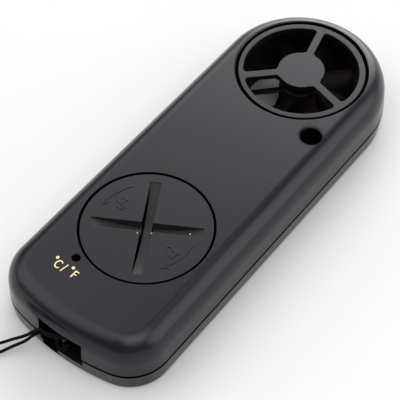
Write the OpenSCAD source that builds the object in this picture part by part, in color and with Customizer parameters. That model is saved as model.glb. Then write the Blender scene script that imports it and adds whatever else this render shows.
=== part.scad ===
// Pocket wind meter with a ducted vane, lying on its front face.
// The origin is the centre of the body's footprint on the front face plane.
// +Z points out of the back, +Y towards the vane, +X to the right seen from the back.
// Names end in _r for radius, _x, _y and _z for coordinates, _xy for a plan position.

/* [Body] */
// Width of the body
body_width = 40; // [40:0.1:40.6]
// Length of the body
body_length = 106.5; // [106.5:0.1:107.5]
// Thickness of the body
body_thick = 14.6; // [14.6]
// Distance of each lower corner's centre from the centre line
corner_x = 10.35; // [10.35]
// Depth of the corner centres below the centre of the bowed end
corner_drop = 46; // [46]
// Wall thickness of both shells
wall = 1.6; // [1.4:0.1:1.6]
// Height of the parting line above the front face
part_z = 4.86; // [4.86]
// Width of the reveal groove between the shells
reveal = 0.4; // [0.3:0.02:0.44]
// Inward taper of the front shell at the front face
front_taper = 0.32; // [0.2:0.02:0.4]
// Draft of the back shell below its shoulder
draft = 0.195; // [0.1:0.005:0.2]
// Horizontal reach of the rounded shoulder
shoulder_reach = 4.6; // [4.4:0.1:4.7]
// Height of the rounded shoulder
shoulder_height = 6.1; // [5.9:0.1:6.1]

/* [Vane] */
// Radius of the hole for the vane cartridge in both shells
duct_hole_r = 15.25; // [15.2:0.05:15.3]
// Outer radius of the cartridge tube
duct_r = 14.85; // [14.8:0.05:14.9]
// Bore radius of the cartridge tube
duct_bore_r = 13.35; // [13.3:0.05:13.4]
// Radius of the hub disc in the grille
grille_hub_r = 5.4; // [5:0.1:5.8]
// Width of a grille spoke
spoke_width = 1.75; // [1.5:0.05:2]
// Direction of the first grille spoke
spoke_dir = 104; // [100:1:108]
// Tip radius of the vane
vane_r = 12.9; // [12.5:0.1:12.9]
// Number of blades
blades = 8; // [8]
// Blade pitch from the plane of rotation
blade_pitch = 42; // [36:1:45]
// Radius of the shaft
shaft_r = 0.5; // [0.5]
// Radial running clearance of the shaft in its bearings
run_gap = 0.03; // [0.02:0.01:0.05]

/* [Battery cover] */
// Distance of the cover axis below the body centre
bay_drop = 23.65; // [23.65]
// Radius of the battery cover
cover_r = 14.3; // [14.2:0.05:14.3]
// Radius of the hole for the cover
cover_hole_r = 14.65; // [14.6:0.05:14.7]
// Width of the coin slots
slot_width = 2.4; // [2:0.1:2.4]
// Half length of the coin slots
slot_half = 12.1; // [11.5:0.1:12.1]
// Depth of the coin slots at the centre
slot_depth = 2.4; // [2:0.1:2.4]
// Directions of the two coin slots
slot_dirs = [29.6, 119.4];
// Turn from locked to open
cover_turn = 40; // [40]

/* [Sensor port and unit key] */
// Position of the temperature sensor port
port_xy = [13.3, 17.95];
// Bore radius of the port
port_r = 2.3; // [2.2:0.1:2.5]
// Radius of the rounding round the port's mouth
port_rim = 0.65; // [0.45:0.05:0.7]
// Position of the unit key pinhole
pin_xy = [-6.69, -38.75];
// Radius of the pinhole
pin_r = 0.98; // [0.9:0.02:1]

/* [Front face] */
// Distance of the two keys from the centre line
key_x = 7.5; // [7.5]
// Radius of a key cap
key_r = 4.0; // [3.8:0.1:4]
// Half width and half height of the visible display area
lcd_half = [11.2, 8.6];
// Height of the display centre
lcd_y = 3.5; // [3.5]

/* [Lanyard] */
// Radius of the cord
cord_r = 0.36; // [0.32:0.02:0.38]
// Length of the wrist loop
loop_length = 46; // [40:1:50]
// Width of the wrist loop
loop_width = 27; // [22:1:28]
// Height of the wrist webbing standing on its edge
web_height = 6; // [5:0.5:6]
// Thickness of the wrist webbing
web_thick = 1.2; // [1:0.1:1.2]

/* [Hidden] */
$fn = 96;

// Body outline: a half circle round the vane, straight sides, two corners, a bowed end
body_r = body_width / 2;
vane_y = body_length / 2 - body_r;
end_y = -body_length / 2;
corner_r = body_r - corner_x;
end_r = corner_r + sqrt(pow(corner_x, 2) + pow(corner_drop, 2));
bow_y = end_y + end_r;
corner_y = bow_y - corner_drop;

// Shell levels
roof_z = body_thick - 1.8;
back_edge_z = part_z + reveal / 2;
front_edge_z = part_z - reveal / 2;
shoulder_z = body_thick - shoulder_height;
tongue_inset = 0.9;
tongue_z = part_z + 0.84;
front_round = 0.75;

// Main board, underside and top
board_z0 = 5.9;
board_z1 = 6.9;

// Flange of the vane cartridge and the shell collars that hold it
flange_z0 = 6;
flange_z1 = 7;
flange_gap = 0.05;
collar_r = 16.7;
collar_bore_r = 15;

// Battery bay, with the levels of its floor, and the top of its cover
bay_y = -bay_drop;
bay_xy = [0, bay_y];
bay_z0 = 7.3;
bay_z1 = 8.3;
well_r = 10.25;
ledge_r = 12.9;
ledge_z1 = 13.1;
lug_dirs = [0, 90, 180, 270];
lid_z = body_thick - 0.12;

// Keys, screws and the boss round the sensor port
power_xy = [-key_x, bay_y];
mode_xy = [key_x, bay_y];
case_screw_reach = 12.8;
case_screw_xy = [for (side = [1, -1]) [0, bay_y + side * case_screw_reach]];
board_screw_xy = [[-14.9, 11.3], [14.9, 11.3], [-12.3, -43.4], [12.3, -43.4]];
port_boss_r = port_r + 0.8;

// Lanyard pocket and the post in it
pocket_x0 = -5.4;
pocket_x1 = 6.1;
pocket_y1 = -48.9;
pocket_z0 = 2.6;
pocket_z1 = 10;
pocket_step_z = 0.6;
pocket_wall = 1.2;
post_xy = [0.35, -51.4];
post_r = 0.6;

charcoal = [0.085, 0.083, 0.09];
darker = [0.05, 0.05, 0.055];
steel = [0.72, 0.73, 0.75];
brass = [0.75, 0.6, 0.3];
board_green = [0.05, 0.25, 0.12];
key_grey = [0.35, 0.36, 0.38];
plunger_grey = [0.6, 0.6, 0.62];

// ---- Shared functions and shapes ----

// A length rounded to a micrometre.
function round_um(length) = round(1000 * length) / 1000;

function reverse(list) = [for (i = [len(list) - 1:-1:0]) list[i]];

module place(xy) {
    translate([xy[0], xy[1], 0]) children();
}

module disc(radius, z0, z1) {
    translate([0, 0, z0]) cylinder(r = radius, h = z1 - z0);
}

module cone(z, bottom_r, top_r, height) {
    translate([0, 0, z]) cylinder(r1 = bottom_r, r2 = top_r, h = height);
}

module ring(outer_r, inner_r, z0, z1) {
    translate([0, 0, z0]) difference() {
        cylinder(r = outer_r, h = z1 - z0);
        translate([0, 0, -1]) cylinder(r = inner_r, h = z1 - z0 + 2);
    }
}

module arc_block(inner_r, outer_r, angle0, angle1, z0, z1) {
    rotate([0, 0, angle0]) rotate_extrude(angle = angle1 - angle0)
        translate([inner_r, z0]) square([outer_r - inner_r, z1 - z0]);
}

module block(x0, x1, y0, y1, z0, z1) {
    translate([x0, y0, z0]) cube([x1 - x0, y1 - y0, z1 - z0]);
}

// Block centred on the Z axis.
module pad(half_x, half_y, z0, z1) {
    block(-half_x, half_x, -half_y, half_y, z0, z1);
}

// Rod that runs towards +Y from its start.
module rod_y(start, radius, length) {
    translate(start) rotate([-90, 0, 0]) cylinder(r = radius, h = length);
}

// Wall profiles are lists of [inset from the body outline, z], from the bottom up.
// This one is a quarter ellipse, from the wall up to the flat.
function shoulder(inset, base_z, reach, height, steps) = [for (i = [0:steps])
    let (angle = 90 * i / steps)
    [round_um(inset + reach * (1 - cos(angle))), round_um(base_z + height * sin(angle))]];

// Profile points at an outline radius.
function wall_points(profile, radius) = [for (point = profile) [radius - point[0], point[1]]];

// The same, closed along a vertical line at inner_r.
function section(profile, radius, inner_r) = concat([[inner_r, profile[0][1]]],
    wall_points(profile, radius), [[inner_r, profile[len(profile) - 1][1]]]);

// Carries a wall profile round the body outline, filled.
module sweep(profile) {
    clip_z = profile[0][1] - 1;
    clip_height = profile[len(profile) - 1][1] - profile[0][1] + 2;
    side = wall_points(profile, body_r);
    // end of a ray from the bow's centre through a corner's centre
    ray_x = corner_x * 1.5;
    ray_y = bow_y - corner_drop * 1.5;
    clip_reach = 25;
    // round end at the vane
    translate([0, vane_y, 0]) rotate_extrude(angle = 180) polygon(section(profile, body_r, 0));
    // straight sides
    translate([0, vane_y, 0]) rotate([90, 0, 0]) linear_extrude(vane_y - corner_y)
        polygon(concat(side, [for (point = reverse(side)) [-point[0], point[1]]]));
    // lower corners
    for (s = [-1, 1]) intersection() {
        translate([s * corner_x, corner_y, 0]) rotate_extrude()
            polygon(section(profile, corner_r, 0));
        translate([0, 0, clip_z]) linear_extrude(clip_height) polygon([
            [s * corner_x, corner_y], [s * clip_reach, corner_y],
            [s * clip_reach, corner_y - clip_reach], [s * ray_x, ray_y]]);
    }
    // bowed end
    intersection() {
        translate([0, bow_y, 0]) rotate_extrude()
            polygon(section(profile, end_r, end_r - corner_r - 3));
        translate([0, 0, clip_z]) linear_extrude(clip_height)
            polygon([[0, bow_y], [ray_x, ray_y], [-ray_x, ray_y]]);
    }
}

// ---- Shells ----

// Block that covers the lanyard pocket plus a margin, open through the lower end.
module pocket_block(margin, z0, z1) {
    block(pocket_x0 - margin, pocket_x1 + margin, end_y - 2, pocket_y1 + margin, z0, z1);
}

// Lanyard pocket in the lower end wall, deeper on the side where the cord leaves.
module pocket_cut() {
    pocket_block(0, pocket_z0, pocket_z1);
    block(pocket_x0 + 0.5, -0.5, end_y - 2, pocket_y1, pocket_step_z, pocket_z1 - 1);
}

module back_skin() difference() {
    sweep(concat([[0, back_edge_z]],
        shoulder(draft, shoulder_z, shoulder_reach, shoulder_height, 22)));
    sweep(concat([[wall, back_edge_z - 1]],
        shoulder(wall + draft, shoulder_z, 3.6, roof_z - shoulder_z, 12)));
    // rebate that takes the front shell's tongue
    sweep([[0.85, back_edge_z - 1], [0.85, part_z + 0.9]]);
}

module bay_walls() {
    ring(cover_hole_r + 0.85, cover_hole_r - 0.05, bay_z0, roof_z + 0.4);
    ring(cover_hole_r + 0.4, well_r, bay_z0, bay_z1);
    // cell well and its floor
    ring(well_r + 0.8, well_r, 8, 10.4);
    disc(well_r + 0.25, bay_z0, 7.64);
    // bayonet ledge
    ring(cover_hole_r + 0.4, ledge_r, 12.2, ledge_z1);
    // stops that end the lugs' travel
    for (dir = lug_dirs, span = [[17.5, 21], [29, 34]])
        arc_block(13, cover_hole_r + 0.3, dir + span[0], dir + span[1], 11, 12.4);
}

module bay_cuts() {
    disc(cover_hole_r, ledge_z1, 20);
    disc(ledge_r, 10.6, 14);
    // entry gaps for the cover's lugs
    for (dir = lug_dirs) arc_block(12, cover_hole_r - 0.1, dir - 16, dir + 16, 11.5, 14);
    cone(lid_z, cover_hole_r, cover_hole_r + 0.2, 0.2);
    // window for the negative contact, slot for the positive one
    pad(4.2, 3, 6, 7.9);
    block(9.7, 13, -1.9, 1.9, 6, 10.5);
}

module port_back_cuts() {
    rim_z = body_thick - port_rim;
    disc(port_r, 0, 20);
    // rounded mouth
    rotate_extrude() polygon(concat([[0, rim_z], [port_r, rim_z]],
        [for (angle = [0:10:90]) [port_r + port_rim * (1 - cos(angle)),
            body_thick - port_rim * (1 - sin(angle))]],
        [[port_r + port_rim, body_thick + 1], [0, body_thick + 1]]));
    // slot for the thermistor leads
    block(-1.1, 1.1, -4, 0, 5, 9.6);
}

module back_cover() color(charcoal) difference() {
    union() {
        back_skin();
        place([0, vane_y]) ring(collar_r, collar_bore_r, flange_z1 + flange_gap, roof_z + 0.4);
        place(bay_xy) bay_walls();
        place(port_xy) disc(port_boss_r, 5.95, roof_z + 0.5);
        place(pin_xy) disc(pin_r + 1, 10.4, roof_z + 0.5);
        // hood round the lanyard pocket
        intersection() {
            pocket_block(pocket_wall, back_edge_z, pocket_z1 + pocket_wall);
            sweep(concat([[0.9, back_edge_z]], shoulder(0.9 + draft, shoulder_z, 4.2, 5, 6)));
            block(-20, 20, end_y - 2, 0, part_z + 0.95, 20);
        }
    }
    place([0, vane_y]) {
        disc(duct_hole_r, 0, 20);
        cone(body_thick - 0.45, duct_hole_r - 0.1, duct_hole_r + 0.5, 0.6);
    }
    place(bay_xy) bay_cuts();
    // notch over the unit switch
    place(pin_xy) pad(2.45, 2.45, 6, 9);
    for (xy = case_screw_xy) place(xy) disc(1.15, 6, 9);
    place(port_xy) port_back_cuts();
    place(pin_xy) {
        disc(pin_r, 8, 20);
        cone(body_thick - 0.1, pin_r, pin_r + 0.15, 0.15);
    }
    pocket_cut();
}

// Wall profile of the front shell: a rounded edge, then a taper out to full size.
function front_profile() = concat([[front_taper + front_round, 0]],
    [for (i = [1:7]) let (angle = 90 * i / 7, z = front_round * (1 - cos(angle)))
        [round_um(front_taper * (1 - z / front_edge_z) + front_round * (1 - sin(angle))),
            round_um(z)]],
    [[0, front_edge_z]]);

module front_skin() difference() {
    union() {
        sweep(front_profile());
        // tongue that locates the back shell
        sweep([[tongue_inset, 3], [tongue_inset, tongue_z]]);
    }
    sweep([[wall, wall], [wall, 9]]);
}

module front_shell() difference() {
    union() {
        front_skin();
        place([0, vane_y]) ring(collar_r, collar_bore_r, 1, flange_z0 - flange_gap);
        place(port_xy) disc(port_boss_r, 1, 5.85);
        // screw posts
        for (xy = case_screw_xy) place(xy) disc(2.2, 1, bay_z0);
        for (xy = board_screw_xy) place(xy) disc(1.7, 1, board_z0);
        // walls of the lanyard pocket
        intersection() {
            pocket_block(pocket_wall, 0.5, tongue_z);
            sweep([[1, 0], [1, 9]]);
        }
    }
    place([0, vane_y]) {
        disc(duct_hole_r, -1, 9);
        cone(-0.05, duct_hole_r + 0.3, duct_hole_r - 0.1, 0.4);
    }
    place(port_xy) {
        disc(port_r, -1, 9);
        cone(-0.05, port_r + 0.45, port_r - 0.1, 0.55);
    }
    for (xy = [power_xy, mode_xy]) place(xy) {
        disc(key_r + 0.12, -1, 3);
        cone(-0.05, key_r + 0.4, key_r, 0.4);
    }
    // stepped display opening
    place([0, lcd_y]) {
        pad(lcd_half[0], lcd_half[1], -1, 3);
        pad(lcd_half[0] + 1.9, lcd_half[1] + 1.9, -1, 1);
    }
    // screw pilot holes
    for (xy = case_screw_xy) place(xy) disc(0.82, 2.4, 9);
    for (xy = board_screw_xy) place(xy) disc(0.72, 1.8, 9);
    pocket_cut();
}

// Post for the cord, moulded with the front shell.
module lanyard_post() {
    place(post_xy) disc(post_r, pocket_z0 - 0.4, pocket_z1 - 0.05);
}

module front_cover() color(charcoal) union() {
    front_shell();
    lanyard_post();
}

// ---- Display ----

glass_half = [12, 9.7];
glass_z0 = 2.2;
glass_z1 = 4;

module lcd_window() color([0.5, 0.55, 0.55, 0.4]) place([0, lcd_y])
    pad(lcd_half[0] + 1.8, lcd_half[1] + 1.8, 0, 0.96);

// Frame with a pocket for the glass and a smaller opening in front of it.
module lcd_holder() color([0.8, 0.8, 0.78]) place([0, lcd_y]) difference() {
    pad(12.9, 10.6, 1.65, 5.85);
    pad(glass_half[0] + 0.1, glass_half[1] + 0.1, glass_z0, 7);
    pad(lcd_half[0] + 0.1, lcd_half[1] + 0.1, 1, 3);
}

module lcd_glass() color([0.6, 0.65, 0.6]) place([0, lcd_y])
    pad(glass_half[0], glass_half[1], glass_z0, glass_z1);

module lcd_backlight() color([0.9, 0.9, 0.88]) place([0, lcd_y])
    block(-glass_half[0], glass_half[0], -glass_half[1], 7.4, glass_z1, 5.2);

module zebra_strip() color([0.7, 0.25, 0.45]) place([0, lcd_y])
    block(-11.8, 11.8, 7.8, 9.4, glass_z1, board_z0);

// ---- Main board and the parts on it ----

module main_board() color(board_green) difference() {
    sweep([[2.6, board_z0], [2.6, board_z1]]);
    // straight ends short of the vane and the lanyard pocket
    block(-30, 30, 15.6, 60, 5, 8);
    block(-30, 30, -60, -47.2, 5, 8);
    place(port_xy) disc(port_r + 1.3, 5, 8);
    for (xy = case_screw_xy) place(xy) disc(2.6, 5, 8);
    for (xy = board_screw_xy) place(xy) disc(1, 5, 8);
}

module controller_chip() color([0.05, 0.05, 0.05]) union() {
    pin_pitch = 0.75;
    block(-4.5, 4.5, -0.5, 8.5, 7.05, 8.35);
    for (x = [-5.6, 4.4], i = [-5:5])
        block(x, x + 1.2, 3.85 + i * pin_pitch, 4.15 + i * pin_pitch, board_z1, 7.2);
}

// Can lying along Y, with two leads bent down to the board.
module crystal_can() color(steel) union() {
    can_x = 9.2;
    can_z = 8.1;
    rod_y([can_x, -3, can_z], 1, 6.2);
    for (x = [can_x - 0.4, can_x + 0.4]) {
        rod_y([x, -4.6, can_z], 0.15, 1.8);
        translate([x, -4.4, board_z1]) cylinder(r = 0.17, h = 1.25);
    }
}

// Rows of chips: [count, first corner, step, [x, y, z] size]
chip_rows = [
    [5, [-14, -6.6], [2.6, 0], [1.6, 0.8, 0.6]],
    [4, [-13.4, -3], [0, 2.4], [1.6, 0.8, 0.6]],
    [4, [4, 10.6], [2.2, 0], [0.8, 1.6, 0.7]],
    [3, [3.4, -44.4], [2.7, 0], [1.6, 0.8, 0.7]],
];

module chip_components() color([0.45, 0.35, 0.25])
    for (row = chip_rows) for (i = [0:row[0] - 1])
        place(row[1] + i * row[2]) translate([0, 0, board_z1]) cube(row[3]);

module hall_sensor() color([0.06, 0.06, 0.06]) union() {
    block(-1.5, 1.5, 13.9, 15.5, 7, 8.1);
    for (x = [-0.95, 0, 0.95]) block(x - 0.2, x + 0.2, 12.9, 14, board_z1, 7.2);
}

// Bead in the sensor port, on two leads from the board.
module thermistor() color([0.12, 0.12, 0.14]) place(port_xy) union() {
    bead_z = 8.4;
    translate([0, 0, bead_z]) sphere(r = 0.85);
    for (x = [-0.35, 0.35]) {
        rod_y([x, -4.7, bead_z], 0.16, 4.5);
        translate([x, -4.6, board_z1]) cylinder(r = 0.19, h = 1.6);
    }
}

// ---- Battery and its contacts ----

// Strip bent to a side outline of [x from the bay axis, z], centred across Y.
module contact(width, outline) color(steel) place(bay_xy) rotate([90, 0, 0])
    translate([0, 0, -width / 2]) linear_extrude(width) polygon(outline);

module battery_contact_negative() contact(4, [
    [-4, board_z1], [-1.8, board_z1], [0.6, 7.45], [3.4, 7.2],
    [3.4, 7.35], [0.6, 7.66], [-1.8, 7.08], [-4, 7.08]]);

module battery_contact_positive() contact(3, [
    [10.1, board_z1], [12.6, board_z1], [12.6, 7.08],
    [10.35, 7.08], [10.35, 10.2], [10.1, 10.2]]);

module coin_cell() color(steel) place(bay_xy) union() {
    disc(9.2, 7.7, 8.1);
    disc(10, 8, 10.75);
    disc(9.7, 10.7, 10.9);
}

// ---- Switches and keys ----

module key_switch_case() difference() {
    pad(3, 3, 3.9, board_z0);
    disc(1.0, 3, 5.1);
}

module power_switch_case() color(darker) place(power_xy) key_switch_case();
module mode_switch_case() color(darker) place(mode_xy) key_switch_case();

module key_plunger() disc(0.9, 3, 4.5);

module power_switch_plunger() color(plunger_grey) place(power_xy) key_plunger();
module mode_switch_plunger() color(plunger_grey) place(mode_xy) key_plunger();

module key_cap() union() {
    cone(0.1, key_r - 0.25, key_r, 0.25);
    disc(key_r, 0.35, 1.9);
    // flange behind the front wall
    disc(key_r + 0.8, 1.68, 2.2);
    // stem towards the plunger
    disc(1.6, 2.1, 2.95);
}

module power_button() color(key_grey) place(power_xy) key_cap();
module mode_button() color(key_grey) place(mode_xy) key_cap();

module unit_switch_case() color(darker) place(pin_xy) difference() {
    pad(2.25, 2.25, board_z1, 8.7);
    disc(0.85, 7.9, 10);
}

module unit_switch_plunger() color([0.25, 0.2, 0.15]) place(pin_xy) disc(0.75, 8.2, 10.1);

// ---- Screws ----

// Head towards +Z with a cross recess.
module screw(head_r, head_z0, head_z1, shank_r, tip_z, cross_half) difference() {
    union() {
        disc(head_r, head_z0, head_z1);
        disc(shank_r, tip_z, head_z0 + 0.1);
    }
    for (angle = [0, 90]) rotate([0, 0, angle])
        pad(cross_half, cross_half / 5, head_z0 + 0.5, head_z1 + 1);
}

module case_screws() color(steel) for (xy = case_screw_xy) place(xy)
    screw(head_r = 1.7, head_z0 = bay_z1, head_z1 = 9.5,
        shank_r = 0.78, tip_z = 2.8, cross_half = 1);

module board_screws() color(steel) for (xy = board_screw_xy) place(xy)
    screw(head_r = 1.55, head_z0 = board_z1, head_z1 = 7.9,
        shank_r = 0.68, tip_z = 2.2, cross_half = 0.9);

// ---- Vane cartridge ----

bearing_r = 1.5;
bearing_length = 1.6;
bearing_seat_r = bearing_r + 0.02;
bearing_boss_r = 2.6;
frame_z0 = 0.3;
frame_z1 = 14.3;

// One side of a spoke in plan: straight, flaring into the hub and the rim with small fillets.
function spoke_side(half_width, hub_r, rim_r, hub_fillet, rim_fillet) = concat(
    [[hub_r - 0.6, half_width + hub_fillet]],
    [for (i = [0:6]) let (along = sin(90 * i / 6))
        [hub_r + hub_fillet * along,
            half_width + hub_fillet * (1 - sqrt(1 - pow(1 - along, 2)))]],
    [for (i = [0:8]) let (along = 1 - cos(90 * i / 8))
        [rim_r - rim_fillet + rim_fillet * along,
            half_width + rim_fillet * (1 - sqrt(1 - along * along))]],
    [[rim_r + 0.6, half_width + rim_fillet]]);

module spokes(z0, z1) {
    side = spoke_side(spoke_width / 2, grille_hub_r, duct_bore_r, 0.6, 0.9);
    for (k = [0:2]) rotate([0, 0, spoke_dir + 120 * k])
        translate([0, 0, z0]) linear_extrude(z1 - z0)
            polygon(concat(side, [for (point = reverse(side)) [point[0], -point[1]]]));
}

module vane_frame_rear() color(charcoal) place([0, vane_y]) difference() {
    union() {
        // tube with a bevelled mouth
        difference() {
            disc(duct_r, 3.2, frame_z1);
            disc(duct_bore_r, 3, 15);
            cone(14.15, duct_bore_r, duct_bore_r + 0.2, 0.2);
        }
        ring(16.4, duct_r - 0.3, flange_z0, flange_z1);
        spokes(13, frame_z1);
        disc(grille_hub_r, 12.8, frame_z1);
        disc(bearing_boss_r, 11.2, 13);
    }
    disc(bearing_seat_r, 11, 13);
    ring(17, duct_r - 0.15, 14.18, 15);
}

module vane_frame_front() color(charcoal) place([0, vane_y]) difference() {
    spigot_bore_r = 12.9;
    union() {
        ring(duct_r, duct_bore_r, frame_z0, 3.15);
        // spigot that enters the rear frame's bore
        ring(duct_bore_r + 0.2, spigot_bore_r, 2, 3.15);
        ring(duct_bore_r - 0.06, spigot_bore_r, 3, 4.4);
        spokes(frame_z0, 1.5);
        disc(grille_hub_r, frame_z0, 1.7);
        disc(bearing_boss_r, 1.5, 3.6);
    }
    disc(bearing_seat_r, 1.9, 5);
}

module bearing(z) color(brass) place([0, vane_y])
    ring(bearing_r, shaft_r + run_gap, z, z + bearing_length);

module bearing_rear() bearing(11.25);
module bearing_front() bearing(1.95);

module impeller_shaft() color(steel) place([0, vane_y]) disc(shaft_r, 2, 12.8);

impeller_z = 7.75;
hub_r = 4.9;
magnet_blades = [0, 4];

// One face of a cambered blade section, x along the rim and y along the axis.
function blade_face(steps, chord, thick, rise, face) = [for (i = [0:steps])
    let (along = face > 0 ? i / steps : 1 - i / steps, bulge = 1 - pow(2 * along - 1, 2))
    [chord * (along - 0.5),
        rise * bulge + face * thick * (0.25 + 0.75 * sqrt(max(0, bulge)))]];

module blade() translate([4.4, 0, impeller_z]) rotate([90, 0, 90]) linear_extrude(9.5)
    rotate([0, 0, blade_pitch]) polygon(concat(
        blade_face(8, 6.6, 0.32, 0.55, -1), blade_face(8, 6.6, 0.32, 0.55, 1)));

// Radial rods at the blades that carry magnets.
module magnet_rods(start, radius, length) {
    for (k = magnet_blades) rotate([0, 0, 360 / blades * k])
        translate([start, 0, impeller_z]) rotate([0, 90, 0]) cylinder(r = radius, h = length);
}

module impeller() color([0.1, 0.075, 0.06]) place([0, vane_y]) difference() {
    union() {
        disc(hub_r, 4.9, 10.3);
        cone(10.3, hub_r, hub_r - 0.5, 0.4);
        // blades, trimmed to the tip circle
        intersection() {
            disc(vane_r, 4.7, 10.8);
            for (k = [0:blades - 1]) rotate([0, 0, 360 / blades * k]) blade();
        }
        magnet_rods(9.4, 1.2, 3.2);
    }
    disc(shaft_r + 0.01, 4, 12);
    // annular recess in the hub's front
    ring(3.9, 1.6, 3, 7.4);
    magnet_rods(10, 0.82, 5);
}

module impeller_magnets() color(steel) place([0, vane_y]) magnet_rods(10.02, 0.8, 2.5);

// ---- Battery cover ----

mark_z0 = lid_z - 0.1;
mark_height = body_thick - mark_z0;

// Raised curved arrow: an arc with a barbed head at its end.
module arrow(radius, angle0, angle1) {
    dir = angle1 > angle0 ? 1 : -1;
    half_line = 0.18;
    arc_block(radius - half_line, radius + half_line,
        min(angle0, angle1), max(angle0, angle1), mark_z0, body_thick);
    rotate([0, 0, angle1]) translate([radius, 0, mark_z0]) linear_extrude(mark_height)
        polygon([[0, dir * 1.1], [-0.95, -dir * 0.55], [-0.55, -dir * 0.75],
            [0, dir * 0.25], [0.55, -dir * 0.75], [0.95, -dir * 0.55]]);
}

// Raised padlock sign at a polar place, upright across the radius.
// The shackle is shifted when open.
module padlock(angle, radius, open) {
    rotate([0, 0, angle]) translate([radius, 0, 0]) rotate([0, 0, 90])
        translate([0, 0, mark_z0]) linear_extrude(mark_height) difference() {
            union() {
                translate([-1.15, -1.3]) square([2.3, 1.7]);
                translate([open ? 1.15 : 0, 0.9]) difference() {
                    union() {
                        circle(r = 0.85);
                        translate([-0.85, -0.95]) square([1.7, 0.95]);
                    }
                    circle(r = 0.5);
                    translate([-0.5, -1.2]) square([1, 1.2]);
                }
            }
            translate([0, -0.45]) circle(r = 0.32);
        }
}

// Coin slot cutter with a bottom that follows a coin's edge.
module coin_slot(depth) {
    sag = depth - 0.2;
    coin_r = (slot_half * slot_half + pow(sag, 2)) / (2 * sag);
    half_angle = asin(slot_half / coin_r);
    translate([0, slot_width / 2, 0]) rotate([90, 0, 0]) linear_extrude(slot_width)
        polygon(concat(
            [for (i = [0:28]) let (angle = half_angle * (i / 14 - 1))
                [round_um(coin_r * sin(angle)),
                    round_um(lid_z - depth + coin_r * (1 - cos(angle)))]],
            [[slot_half, lid_z + 1], [-slot_half, lid_z + 1]]));
}

module battery_cover() color(charcoal) place(bay_xy) difference() {
    bevel = 0.12;
    union() {
        disc(cover_r, 13.2, lid_z - bevel);
        cone(lid_z - bevel, cover_r, cover_r - bevel, bevel);
        ring(12.6, 11.2, 11, 13.3);
        // ribs under the coin slots
        for (dir = slot_dirs) rotate([0, 0, dir]) pad(11.5, 2.1, 11.2, 13.3);
        // bayonet lugs, in the locked position
        for (dir = lug_dirs)
            arc_block(12.4, 14, dir - cover_turn - 14, dir - cover_turn + 14, 11, 12.1);
        arrow(11.4, 143, 180);
        arrow(10.9, 11, -31);
        padlock(164, 8.6, true);
        padlock(-13, 8.4, false);
        // raised dot
        translate([-4.5, -3.2, mark_z0]) cylinder(r = 0.4, h = 0.17);
    }
    // the first slot is shallower
    for (i = [0, 1]) rotate([0, 0, slot_dirs[i]]) coin_slot(slot_depth - 0.25 * (1 - i));
}

// ---- Lanyard ----

ferrule_xy = [-20.6, -69];
ferrule_dir = 262;

// A point given along and across the ferrule, in body coordinates.
function ferrule_point(along, across, z) = [
    ferrule_xy[0] + along * cos(ferrule_dir) - across * sin(ferrule_dir),
    ferrule_xy[1] + along * sin(ferrule_dir) + across * cos(ferrule_dir), z];

module in_ferrule_frame(z) {
    translate([ferrule_xy[0], ferrule_xy[1], z]) rotate([0, 0, ferrule_dir]) children();
}

// A point round the post, one eighth of a turn per step.
hitch_r = post_r + cord_r + 0.14;
function round_post(step, z) = [post_xy[0] + hitch_r * cos(180 - 45 * step),
    post_xy[1] + hitch_r * sin(180 - 45 * step), z];

// Cord centre line: out of the ferrule, up into the pocket, hitched round the post and back.
// The hitch passes behind the post twice and its bight crosses in front of both ends.
cord_side = 0.8;
cord_z = 2;
cord_path = concat(
    [ferrule_point(1.5, -cord_side, cord_z), ferrule_point(-0.2, -cord_side, cord_z),
        ferrule_point(-2.2, -cord_side, 1.8)],
    [[-20.4, -64.9, 1.3], [-18.6, -63.3, 0.9], [-16.2, -62, 0.9], [-13.6, -60.6, 1.2],
        [-11.6, -58.8, 2], [-9.6, -57.1, 3.2], [-7.2, -55.4, 4.9], [-4.95, -53.35, 6.8],
        [-2.9, -52.95, 6.75], [-1.4, -52.2, 6.8]],
    [for (i = [0:5]) round_post(i, 6.9 + 0.2 * i)],
    [[0.65, -52.65, 8.2], [0.15, -53.1, 8.45], [-0.08, -53.25, 7.7], [-0.12, -53.3, 6.4],
        [-0.05, -53.25, 5], [0.2, -53.05, 4.2], [0.7, -52.65, 4.25]],
    [for (i = [5:-1:0]) round_post(i, 5.65 - 0.2 * i)],
    [[-1.4, -52.2, 5.75], [-2.9, -52.95, 5.85], [-4.9, -53.5, 5.75], [-5.95, -54.5, 4.9],
        [-7, -55.9, 3.6], [-9, -58, 2.1], [-10.6, -60.1, 1.1], [-12.2, -62.3, 0.8],
        [-15, -64.5, 0.7], [-17.9, -65.9, 1.1]],
    [ferrule_point(-2, cord_side, 1.7), ferrule_point(-0.2, cord_side, cord_z),
        ferrule_point(1.5, cord_side, cord_z)]);

// Round tube along a path that never runs along the reference direction.
tube_ref = [-0.2, 0.75, 0.63];
module tube(path, radius, sides) {
    last = len(path) - 1;
    heading = [for (i = [0:last])
        let (step = path[min(i + 1, last)] - path[max(i - 1, 0)]) step / norm(step)];
    across = [for (dir = heading) let (normal = cross(dir, tube_ref)) normal / norm(normal)];
    upward = [for (i = [0:last]) cross(across[i], heading[i])];
    points = [for (i = [0:last]) for (j = [0:sides - 1]) let (angle = 360 * j / sides)
        path[i] + radius * (cos(angle) * across[i] + sin(angle) * upward[i])];
    end = last * sides;
    polyhedron(points = points, faces = concat(
        [for (i = [0:last - 1]) for (j = [0:sides - 1])
            let (k = (j + 1) % sides, here = i * sides, next = here + sides)
            for (face = [[here + j, next + j, next + k], [here + j, next + k, here + k]]) face],
        [for (j = [1:sides - 2]) [0, j, j + 1]],
        [for (j = [1:sides - 2]) [end, end + j + 1, end + j]]));
}

module lanyard_cord() color(darker) tube(cord_path, cord_r, 10);

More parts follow.
